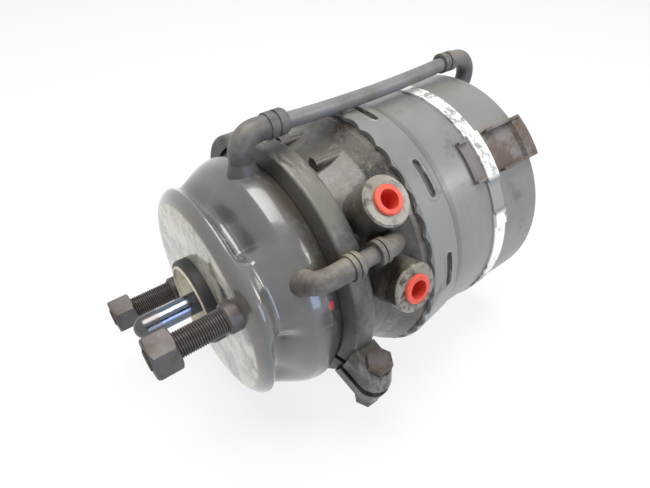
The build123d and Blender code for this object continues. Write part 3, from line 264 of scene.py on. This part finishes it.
def housingFinish(look):
    f = Finish("housingEnamel")
    cloud = f.noise(18.0, 5.0, 0.6)
    fine = f.noise(220.0, 3.0, 0.6)
    color = f.mix(f.step(cloud, 0.35, 0.75) * 0.6, look["enamel"], look["shade"])
    streak = f.step(f.noise(1.0, 8.0, 0.75, f.stretch(26.0, 70.0, 70.0)), 0.50, 0.66)
    color = f.mix(streak * 0.35, color, look["dust"])
    nearClamp = f.step(f.x + cloud * 0.016, *look["grimeFrom"])
    film = nearClamp * f.step(f.noise(48.0, 9.0, 0.72), 0.36, 0.52)
    color = f.mix(film * 0.95, color, look["grime"])
    # the valley floors darkened in the oil colour: painted shade in the pressed valleys
    valleyShade = f.step(f.radius, *look["valleyShadeRadius"]) * f.step(f.x, *look["valleyShadeFrom"])
    color = f.mix(valleyShade * 0.30, color, look["oil"])
    front = f.step(f.x + cloud * 0.01, *look["frontFrom"])
    color = f.mix(front * 0.2, color, look["dust"])
    # the lower side darker and bluer: painted shade with a painted bluish reflection
    undersideShade = f.step(f.z, *look["undersideShadeFrom"])
    color = f.mix(undersideShade * 0.6, color, look["bluishUndersideShade"])
    face = f.step(f.normalX, 0.93, 0.985) * f.step(f.x, *look["faceFrom"])
    patch = f.noise(21.0, 9.0, 0.62, distortion=0.9)
    worn = face * f.step(patch, 0.60, 0.52)
    bare = f.mix(f.step(f.noise(60.0, 8.0, 0.7), 0.43, 0.66) * 0.85, look["bare"], look["stain"])
    color = f.mix(worn, color, bare)
    rim = f.step(f.normalX, 0.55, 0.8) * f.step(f.normalX, 0.995, 0.93) * f.step(f.x, *look["rimFrom"])
    color = f.mix(rim * f.step(fine, 0.4, 0.7) * 0.45, color, look["rustEdge"])
    scuff = f.step(f.noise(30.0, 10.0, 0.75, f.stretch(1.0, 0.25, 0.25)), 0.66, 0.72)
    speck = f.step(f.cells(95.0), 0.055, 0.02) * f.step(cloud, 0.5, 0.62)
    color = f.mix(f.either(speck, scuff * 0.4), color, look["chip"])
    oily = f.spot(*look["oilMark"]) * f.step(f.noise(140.0, 6.0, 0.7), 0.36, 0.54)
    color = f.mix(oily * 0.85, color, look["oil"])
    color = f.mix(f.spot(*look["redDotMark"]), color, look["redDot"])
    roughness = 0.17 + 0.14 * cloud + 0.35 * film + 0.25 * worn + 0.12 * scuff + 0.25 * oily
    height = fine * 0.10 + cloud * 0.5 - worn * patch * 1.2 - speck * 0.8 - film * 0.15
    return f.close(color, roughness, height, 0.0005, metallic=worn * 0.35, coat=1.0 - 0.95 * film)


housingEnamel = housingFinish(housingLook)
dress(housingEnamel, "service_housing")


# Smoothly pressed housing: a ring groove behind the nose, deepened into valleys beside each stud
housing = {
    "columns": 360,
    "studAngle": 31.0,
    "wall": 3.0,
    "hole": 31.05,
    "face": (40.0, 50.0, 58.0, 62.0),
    # distance behind the mounting face and radius, mm
    "side": (
        (0.0, 63.5),
        (0.7, 68.4),
        (2.4, 72.4),
        (5.2, 75.6),
        (8.6, 77.2),
        (12.5, 76.8),
        (17.0, 75.8),
        (22.0, 77.9),
        (28.0, 81.2),
        (35.0, 84.6),
        (41.0, 86.2),
        (46.0, 86.2),
        (51.0, 84.4),
        (55.0, 81.8),
        (58.0, 80.6),
    ),
    "rows": 78,
    "crowding": 1.35,
    "sharpEdge": 35,
    "rim": ((60.3, 80.6), (65.0, 88.4), (68.0, 88.4)),
    "mouth": 77.6,
    # first and last angle, blend at each, depth
    "valleys": (
        (50.0, 128.0, 10.0, 32.0, 10.2),
        (18.0, -46.0, 9.0, 28.0, 9.4),
    ),
    # behind the face: starts, full, full until, ends
    "groove": (7.5, 15.2, 17.5, 36.0),
    # height, spread in degrees, and the same four distances
    "lobe": (3.8, 14.0, 1.0, 6.5, 10.5, 20.0),
}


def smoothCurve(points, at):
    # cubic through the points, each slope taken from the neighbours
    last = len(points) - 1
    k = min(max(i for i in range(last) if points[i][0] <= at or i == 0), last - 1)

    def slope(i):
        before, after = points[max(i - 1, 0)], points[min(i + 1, last)]
        return (after[1] - before[1]) / (after[0] - before[0])

    (x0, y0), (x1, y1) = points[k], points[k + 1]
    run = x1 - x0
    u = (at - x0) / run
    start = (2 * u**3 - 3 * u**2 + 1) * y0 + (u**3 - 2 * u**2 + u) * run * slope(k)
    end = (3 * u**2 - 2 * u**3) * y1 + (u**3 - u**2) * run * slope(k + 1)
    return start + end


def ease(value, low, high):
    u = min(max((value - low) / (high - low), 0.0), 1.0)
    return u * u * (3 - 2 * u)


def pressedBy(values, at, angle):
    # how far the valleys go in and the stud lobes stand out, mm
    frontLow, frontFull, rearFull, rearLow = values["groove"]
    groove = ease(at, frontLow, frontFull) * ease(at, rearLow, rearFull)
    depth = 0.0
    for first, last, firstBlend, lastBlend, deep in values["valleys"]:
        way = 1 if last > first else -1
        middle = (first + last) / 2
        turn = (angle - middle + 90) % 180 - 90 + middle
        inside = ease(way * (turn - first), 0, firstBlend) * ease(way * (last - turn), 0, lastBlend)
        depth = max(depth, deep * inside)
    height, spread, frontLow, frontFull, rearFull, rearLow = values["lobe"]
    off = (angle - values["studAngle"] + 90) % 180 - 90
    lobe = height * math.exp(-((off / spread) ** 2))
    lobe *= ease(at, frontLow, frontFull) * ease(at, rearLow, rearFull)
    return lobe - depth * groove


def makeHousing(values):
    columns, wall = values["columns"], values["wall"]
    end = values["side"][-1][0]
    side = []
    for row in range(values["rows"] + 1):
        # closer rows round the front edge
        at = end * (row / values["rows"]) ** values["crowding"]
        side.append((at, smoothCurve(values["side"], at)))
    outer = [(0.0, values["hole"])] + [(0.0, radius) for radius in values["face"]] + side
    least = values["face"][-1] + wall
    inner = [(at, radius - wall) for at, radius in side if at > wall and radius > least]
    back = [(values["rim"][-1][0], values["mouth"])] + inner[::-1]
    back += [(wall, values["face"][-2]), (wall, values["hole"])]
    loop = outer + list(values["rim"]) + back

    mesh = bmesh.new()
    made = []
    for at, radius in loop:
        ring = []
        for column in range(columns):
            angle = 360 * column / columns
            reach = radius
            if radius > values["face"][-1] and at < end:
                reach += pressedBy(values, at, angle)
            turn = math.radians(angle)
            corner = Vector((-at, reach * math.cos(turn), reach * math.sin(turn))) / 1000
            ring.append(mesh.verts.new(corner))
        made.append(ring)
    for first, second in zip(made, made[1:] + made[:1]):
        for k in range(columns):
            n = (k + 1) % columns
            mesh.faces.new((first[k], first[n], second[n], second[k]))
    bmesh.ops.recalc_face_normals(mesh, faces=mesh.faces)
    for edge in mesh.edges:
        edge.smooth = edge.calc_face_angle(0.0) < math.radians(values["sharpEdge"])
    for face in mesh.faces:
        face.smooth = True
    data = bpy.data.meshes.new("pressedHousing")
    mesh.to_mesh(data)
    mesh.free()
    piece = bpy.data.objects.new("pressedHousing", data)
    bpy.context.scene.collection.objects.link(piece)
    data.materials.append(housingEnamel)
    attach(piece, "chamber")
    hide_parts("service_housing")
    return piece


makeHousing(housing)
print("housing pressed")


# Spring cylinder: satin grey paint with drawing lines, scratches and chips
cylinderLook = {
    "paint": tint("7b7b77"),
    "worn": tint("666562"),
    "grime": tint("4a453e"),
    "chip": tint("dedbd2"),
    "rust": tint("5d4433"),
    "slotFirst": 10.4,
    "slotStep": 40.0,
    "slotAt": 0.140,
    "slotHalfRun": 0.0108,
    "slotRadius": 0.0955,
    # distances from a slot's middle line
    "lip": (0.0062, 0.0046),
    "wornLip": (0.0030, 0.0036, 0.0004),
    "slotShadeAndRust": (0.0046, 0.0030),
    # along the axis
    "sleeveEdge": (-0.1262, -0.1222),
    "footLine": (-0.1512, -0.1500, 0.0006),
    "shadeRing": (-0.1560, -0.1512, 0.0020),
}


def cylinderFinish(name, look, rustAmount, sleeve):
    f = Finish(name)
    cloud = f.noise(14.0, 6.0, 0.6)
    rings = f.noise(1.0, 4.0, 0.7, f.stretch(900.0, 6.0, 6.0))
    fine = f.noise(420.0, 3.0, 0.6)
    color = f.mix(f.step(cloud, 0.4, 0.7) * 0.6, look["paint"], look["worn"])
    color = f.mix(f.step(rings, 0.5, 0.75) * 0.25, color, look["worn"])
    dirt = f.step(f.noise(34.0, 8.0, 0.68), 0.58, 0.70)
    color = f.mix(dirt * 0.5, color, look["grime"])
    scratch = f.step(f.noise(1.0, 6.0, 0.8, f.stretch(60.0, 420.0, 420.0)), 0.72, 0.76)
    chips = f.step(f.cells(60.0), 0.06, 0.03) * f.step(cloud, 0.55, 0.62)
    color = f.mix(f.either(chips, scratch * 0.5), color, look["chip"])
    rust = f.step(f.noise(70.0, 8.0, 0.7), 0.68, 0.74) * rustAmount

    # distance from the middle line of the nearest slot
    half = look["slotStep"] / 2
    first = look["slotFirst"]
    turn = f.math("WRAP", f.angle, first + half, first - half) - first
    around = f.math("ABSOLUTE", turn * (look["slotRadius"] * math.pi / 180))
    beyond = f.math("MAXIMUM", around - look["slotHalfRun"], 0.0)
    along = f.x + look["slotAt"]
    reach = f.math("SQRT", beyond * beyond + along * along)
    if sleeve:
        lip = f.step(reach, *look["lip"])
        edge = f.step(f.x, *look["sleeveEdge"])
        worn = f.either(f.band(reach, *look["wornLip"]), edge * 0.8)
        color = f.mix(worn * f.step(f.noise(55.0, 8.0, 0.7), 0.50, 0.62) * 0.6, color, look["chip"])
        foot = f.band(f.x, *look["footLine"])
        color = f.mix(foot * 0.6, color, look["grime"])
        height = rings * 0.1 + fine * 0.15 + cloud * 0.3 - chips + rust * 0.8 + lip * 1.6
    else:
        # where the cylinder shows through the sleeve's slots it is darkened in the grime colour as
        # painted shade, with real rust spots in it
        slotShadeAndRust = f.step(reach, *look["slotShadeAndRust"])
        color = f.mix(slotShadeAndRust * 0.85, color, look["grime"])
        color = f.mix(slotShadeAndRust * f.step(f.noise(60.0, 5.0, 0.7), 0.50, 0.62) * 0.8, color, look["rust"])
        shadeRing = f.band(f.x, *look["shadeRing"])
        color = f.mix(shadeRing * 0.35, color, look["grime"])
        height = rings * 0.1 + fine * 0.12 + cloud * 0.3 - chips + rust * 0.8
    color = f.mix(rust, color, look["rust"])
    roughness = 0.30 + 0.15 * cloud + 0.25 * dirt + 0.3 * rust
    return f.close(color, roughness, height, 0.0003, coat=0.1)


dress(cylinderFinish("cylinderPaint", cylinderLook, 0.35, False), "spring_cylinder")
dress(cylinderFinish("sleevePaint", cylinderLook, 0.55, True), "crimp_sleeve")


# Clamp ring: dark oily grime over grey paint with painted shade on its sides, rubbed bright along its
# crown with a painted highlight
clampLook = {
    "paint": tint("615d55"),
    "grime": tint("2e2a25"),
    "rubAndHighlight": tint("96928a"),
    "crown": 0.0913,
}


def clampFinish(look):
    f = Finish("clampPaint")
    cloud = f.noise(24.0, 7.0, 0.65)
    grit = f.noise(260.0, 4.0, 0.65)
    crown = f.step(f.radius, look["crown"] - 0.002, look["crown"] - 0.0002)
    color = f.mix(f.step(cloud, 0.38, 0.62), look["paint"], look["grime"])
    # below the crown the clamp's sides are darkened towards the grime colour: grime and painted shade
    # together
    color = f.mix((1 - crown) * 0.7, color, look["grime"])
    # the crown lightened in streaks: rubbed paint and a painted highlight
    rubbedAndHighlit = crown * f.step(f.noise(1.0, 7.0, 0.7, f.stretch(90.0, 22.0, 22.0)), 0.52, 0.64)
    color = f.mix(rubbedAndHighlit * 0.6, color, look["rubAndHighlight"])
    roughness = 0.34 + 0.3 * cloud - 0.12 * rubbedAndHighlit
    return f.close(color, roughness, grit * 0.35 + cloud * 0.5, 0.0005, coat=0.1)


dress(clampFinish(clampLook), "clamp_half_upper", "clamp_half_lower")


# Cast flange body: die-cast skin under oily dirt
castLook = {
    "metal": tint("565047"),
    "oil": tint("231c16"),
    "dry": tint("7f796b"),
    "bossFace": 0.1068,
}


def castFinish(look):
    f = Finish("castBody")
    cloud = f.noise(26.0, 8.0, 0.68, distortion=0.4)
    grain = f.noise(330.0, 4.0, 0.7)
    lump = f.noise(70.0, 5.0, 0.6)
    color = f.mix(f.step(cloud, 0.40, 0.60), look["metal"], look["oil"])
    color = f.mix(f.step(f.noise(90.0, 8.0, 0.75), 0.57, 0.66) * 0.5, color, look["dry"])
    bossTop = f.step(f.radius, look["bossFace"] - 0.0022, look["bossFace"] - 0.0008)
    color = f.mix(bossTop * f.step(f.noise(160.0, 5.0, 0.7), 0.38, 0.52), color, look["dry"])
    roughness = 0.24 + 0.4 * f.step(cloud, 0.6, 0.35)
    height = grain * 0.35 + lump * 0.8 + cloud
    return f.close(color, roughness, height, 0.0009, coat=0.35)


dress(castFinish(castLook), "flange_body")


# Studs, nuts and bolts: oxidised steel
steelLook = {
    "steel": tint("55504e"),
    "brown": tint("463a31"),
    "bright": tint("8d8884"),
    "root": tint("1f1a17"),
    "ring": 0.120650 / 2,
    "line": 31.0,
    "threadRoot": (0.0071, 0.0079),
    "threadTop": (0.0081, 0.0002),
}


def steelFinish(name, look, brownness, threaded=False):
    f = Finish(name)
    cloud = f.noise(60.0, 6.0, 0.65)
    grit = f.noise(500.0, 3.0, 0.6)
    color = f.mix(f.step(cloud, 0.62 - brownness, 0.85 - brownness), look["steel"], look["brown"])
    color = f.mix(f.step(f.noise(190.0, 6.0, 0.7), 0.60, 0.72) * 0.5, color, look["bright"])
    if threaded:
        # distance from the stud's own middle line
        line = math.radians(look["line"])
        turnY, turnZ = math.cos(line), math.sin(line)
        out = f.math("ABSOLUTE", f.y * turnY + f.z * turnZ) - look["ring"]
        aside = f.z * turnY - f.y * turnZ
        depth = f.math("SQRT", out * out + aside * aside)
        root, crest = look["threadRoot"]
        color = f.mix(f.step(depth, crest, root) * 0.8, color, look["root"])
        color = f.mix(f.band(depth, crest, *look["threadTop"]) * 0.35, color, look["bright"])
    roughness = 0.35 + 0.35 * cloud
    return f.close(color, roughness, grit * 0.4 + cloud * 0.5, 0.0003, metallic=0.55 - 0.3 * cloud)


studSteel = steelFinish("studSteel", steelLook, 0.22, threaded=True)
boltSteel = steelFinish("clampBoltSteel", steelLook, 0.2)
dress(steelFinish("nutSteel", steelLook, 0.18), "stud_nuts")
dress(boltSteel, "clamp_bolts", "clamp_nuts", "release_bolt", "release_nut")


# Mounting studs with a real screw thread
stud = {
    "ring": 0.120650 / 2,
    "angles": (31.0, 211.0),
    "head": (-0.0065, -0.0030, 0.0110),
    "shoulder": (-0.0030, 0.0075, 0.0098),
    "end": 0.0535,
    "crest": 0.0080,
    "thread": 0.0015,
    "depth": 0.0009,
    "nutAt": 0.0370,
    "nutThread": 0.0075,
    "sides": 48,
    "perTurn": 8,
}


def studRadius(values, x, turn):
    # crest to root across one thread, chamfered at the tip
    phase = (x / values["thread"] - turn) % 1.0
    groove = values["depth"] * (1 - abs(2 * phase - 1))
    crest = values["nutThread"] if x > values["nutAt"] else values["crest"]
    tip = max(0.0, x - (values["end"] - 0.0012))
    return min(crest, crest - tip) - groove * 0.9


def makeStuds(values):
    mesh = bmesh.new()
    sides = values["sides"]
    for angle in values["angles"]:
        line = math.radians(angle)
        centre = Vector((0, math.cos(line), math.sin(line))) * values["ring"]
        back, wallAt, headRadius = values["head"]
        _, shoulderEnd, shoulderRadius = values["shoulder"]
        plain = [
            (back, headRadius - 0.0005),
            (back + 0.0005, headRadius),
            (wallAt, headRadius),
            (wallAt, shoulderRadius),
            (shoulderEnd - 0.0012, shoulderRadius),
            (shoulderEnd, shoulderRadius - 0.0012),
            (shoulderEnd, values["crest"] - values["depth"]),
        ]
        rings = [[(x, radius) for _ in range(sides)] for x, radius in plain]
        steps = int((values["end"] - shoulderEnd) / values["thread"] * values["perTurn"])
        for index in range(1, steps + 1):
            x = shoulderEnd + (values["end"] - shoulderEnd) * index / steps
            rings.append([(x, studRadius(values, x, k / sides)) for k in range(sides)])
        made = []
        for ring in rings:
            corners = []
            for k, (x, radius) in enumerate(ring):
                turn = 2 * math.pi * k / sides
                corner = Vector((x, radius * math.cos(turn), radius * math.sin(turn)))
                corners.append(mesh.verts.new(centre + corner))
            made.append(corners)
        for first, second in zip(made, made[1:]):
            for k in range(sides):
                n = (k + 1) % sides
                mesh.faces.new((first[k], first[n], second[n], second[k]))
        mesh.faces.new(made[0][::-1])
        mesh.faces.new(made[-1])
    data = bpy.data.meshes.new("threadedStuds")
    bmesh.ops.recalc_face_normals(mesh, faces=mesh.faces)
    mesh.to_mesh(data)
    mesh.free()
    piece = bpy.data.objects.new("threadedStuds", data)
    bpy.context.scene.collection.objects.link(piece)
    data.materials.append(studSteel)
    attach(piece, "chamber")
    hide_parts("mounting_studs")
    return piece


makeStuds(stud)
print("studs threaded")


# Pushrod: ground and chromed, its base colour darkened and blued as a painted blue reflection
rodLook = {
    "chromeAndBlueReflection": tint("666c79"),
    "tip": tint("5f5b58"),
    "tipFrom": 0.0315,
    "tipBlur": 0.0002,
}


def rodFinish(look):
    f = Finish("hardChrome")
    wipe = f.noise(1.0, 5.0, 0.65, f.stretch(30.0, 160.0, 160.0))
    tip = f.step(f.x, look["tipFrom"] - look["tipBlur"], look["tipFrom"] + look["tipBlur"])
    color = f.mix(tip * 0.8, look["chromeAndBlueReflection"], look["tip"])
    roughness = 0.07 + 0.12 * wipe + 0.12 * tip
    return f.close(color, roughness, f.noise(900.0, 2.0), 0.00004, metallic=1.0)


dress(rodFinish(rodLook), "pushrod", "pushrod_plate")


# Moulded and rubber pieces
def plainFinish(name, base, worn, roughness):
    f = Finish(name)
    cloud = f.noise(35.0, 7.0, 0.65)
    fine = f.noise(300.0, 4.0, 0.65)
    color = f.mix(f.step(cloud, 0.42, 0.68) * 0.8, base, worn)
    color = f.mix(f.step(f.noise(130.0, 8.0, 0.72), 0.6, 0.7) * 0.35, color, worn)
    return f.close(color, roughness + 0.2 * cloud, fine * 0.4 + cloud * 0.6, 0.0003)


# finish: colour, worn colour, roughness, pieces
plainLooks = {
    "guideRing": (tint("e9e2cf"), tint("b9a98a"), 0.35, ("guide_ring",)),
    "sealRubber": (tint("1b1b1c"), tint("343330"), 0.42, ("seal_ring",)),
    "gaiterRubber": (tint("1d1c1c"), tint("2c2a28"), 0.5, ("gaiter", "service_diaphragm")),
    "ringRubber": (tint("191919"), tint("2a2826"), 0.5, ("hub_seals", "cylinder_seal", "piston_seal")),
    "hoseRubber": (tint("4c4a48"), tint("7a736a"), 0.38, ("vent_front_elbow", "vent_rear_elbow")),
    "breatherRubber": (
        tint("4a4540"),
        tint("8a8377"),
        0.42,
        ("breather_front_elbow", "breather_rear_elbow", "breather_pipe"),
    ),
    "ventPipe": (tint("747472"), tint("5f5d59"), 0.30, ("vent_pipe",)),
    "redPlug": (tint("e0503c"), tint("b5402f"), 0.38, ("service_port_plug", "parking_port_plug")),
    "springSteel": (tint("3a3a3c"), tint("55504a"), 0.4, ("power_spring", "return_spring")),
    "innerAlloy": (tint("9a9b9d"), tint("808082"), 0.4, ("parking_piston",)),
}
for name, (base, worn, roughness, pieces) in plainLooks.items():
    dress(plainFinish(name, base, worn, roughness), *pieces)


# Strap: white paint worn through to grey and rust
strapLook = {
    "white": tint("e9e7e1"),
    "grey": tint("8a8987"),
    "rust": tint("6e4c36"),
    "greyFrom": (21.0, 23.0),
    "greyTo": (40.0, 37.0),
}


def strapFinish(look):
    f = Finish("strapPaint")
    cloud = f.noise(30.0, 8.0, 0.7)
    worn = f.step(f.noise(48.0, 10.0, 0.72), 0.50, 0.57)
    greyRun = f.step(f.angle, *look["greyFrom"]) * f.step(f.angle, *look["greyTo"])
    cover = f.either(worn * f.step(cloud, 0.42, 0.55), greyRun)
    color = f.mix(cover, look["white"], look["grey"])
    rust = f.step(f.noise(120.0, 8.0, 0.72), 0.60, 0.66) * f.step(cloud, 0.48, 0.6)
    color = f.mix(rust, color, look["rust"])
    height = f.noise(400.0, 3.0) * 0.2 - cover * 0.6 + rust * 0.5
    return f.close(color, 0.4 + 0.3 * rust, height, 0.0003)


dress(strapFinish(strapLook), "strap")


# Bracket: dark rusty steel, its tab greyer
bracketLook = {
    "metal": tint("726d69"),
    "rust": tint("574a41"),
    "deep": tint("3a312b"),
    "tabFrom": (-0.1935, -0.1925),
}


def bracketFinish(look):
    f = Finish("bracketRust")
    cloud = f.noise(45.0, 8.0, 0.7)
    blotch = f.noise(120.0, 7.0, 0.7)
    tab = f.step(f.x, *look["tabFrom"])
    color = f.mix(f.step(cloud, 0.40, 0.58) * (1 - tab * 0.8), look["metal"], look["rust"])
    color = f.mix(f.step(blotch, 0.55, 0.68) * (0.8 - tab * 0.5), color, look["deep"])
    return f.close(color, 0.5 + 0.35 * blotch, blotch + cloud, 0.0006, metallic=0.2)


dress(bracketFinish(bracketLook), "strap_bracket")
print("finishes on the frame:", len(bpy.data.materials))


# Floor, lamps and room
room = {
    "floorAt": cadLow.z,
    "floorSize": 6.0,
    "floorColor": tint("f6f5f3"),
    "roomColor": (0.93, 0.96, 1.0, 1.0),
    "roomLight": 0.38,
    "shadowKept": 0.2,
    "lamps": (
        # name, place, aim, width, depth, power, color
        ("overhead", (-0.12, -0.12, 1.30), (-0.10, 0.0, 0.0), 1.00, 0.90, 20.0, (1.0, 0.97, 0.93)),
        ("window", (-0.10, 0.93, 0.23), (-0.02, 0.0, 0.0), 0.36, 0.60, 3.2, (0.50, 0.66, 1.0)),
        ("side", (-0.90, 0.80, 0.75), (-0.12, 0.0, 0.0), 0.40, 0.40, 5.0, (1.0, 0.97, 0.93)),
    ),
}


def seenRays(board):
    path = board.node("ShaderNodeLightPath", {}, {}, None)
    kinds = ("Is Camera Ray", "Is Glossy Ray", "Is Transmission Ray")
    camera, glossy, through = (board.wire(path, kind) for kind in kinds)
    return board.math("MAXIMUM", board.math("MAXIMUM", camera, glossy), through)


def makeRoom(values):
    half = values["floorSize"] / 2
    mesh = bpy.data.meshes.new("floor")
    corners = [(-half, -half), (half, -half), (half, half), (-half, half)]
    mesh.from_pydata([(x, y, values["floorAt"]) for x, y in corners], [], [(0, 1, 2, 3)])
    floor = bpy.data.objects.new("floor", mesh)
    bpy.context.scene.collection.objects.link(floor)
    f = Finish("floorPaper")
    color = f.mix(f.noise(3.0, 2.0) * 0.1, values["floorColor"], (1.0, 1.0, 1.0, 1.0))
    paper = f.shader(color, 0.9, specular=0.1)
    glow = f.node("ShaderNodeEmission", {}, {"Color": (1.0, 1.0, 1.0, 1.0), "Strength": 1.0})
    lift = seenRays(f) * (1 - values["shadowKept"])
    blend = f.node("ShaderNodeMixShader", {}, {0: lift, 1: paper, 2: glow})
    mesh.materials.append(f.finish(blend))

    world = bpy.data.worlds.new("room")
    bpy.context.scene.world = world
    world.use_nodes = True
    w = Board(world.node_tree)
    strength = values["roomLight"] + seenRays(w) * (1.0 - values["roomLight"])
    sky = w.node("ShaderNodeBackground", {}, {"Color": values["roomColor"], "Strength": strength})
    w.node("ShaderNodeOutputWorld", {}, {"Surface": sky}, None)

    for name, place, aim, width, depth, power, color in values["lamps"]:
        data = bpy.data.lights.new(name, "AREA")
        data.shape = "RECTANGLE"
        data.size = width
        data.size_y = depth
        data.energy = power
        data.color = color
        lamp = bpy.data.objects.new(name, data)
        bpy.context.scene.collection.objects.link(lamp)
        away = Vector(place) - Vector(aim)
        facing = away.to_track_quat("Z", "Y").to_matrix().to_4x4()
        lamp.matrix_world = Matrix.Translation(place) @ facing


makeRoom(room)
bpy.context.scene.view_settings.view_transform = "Standard"
print("room lit")
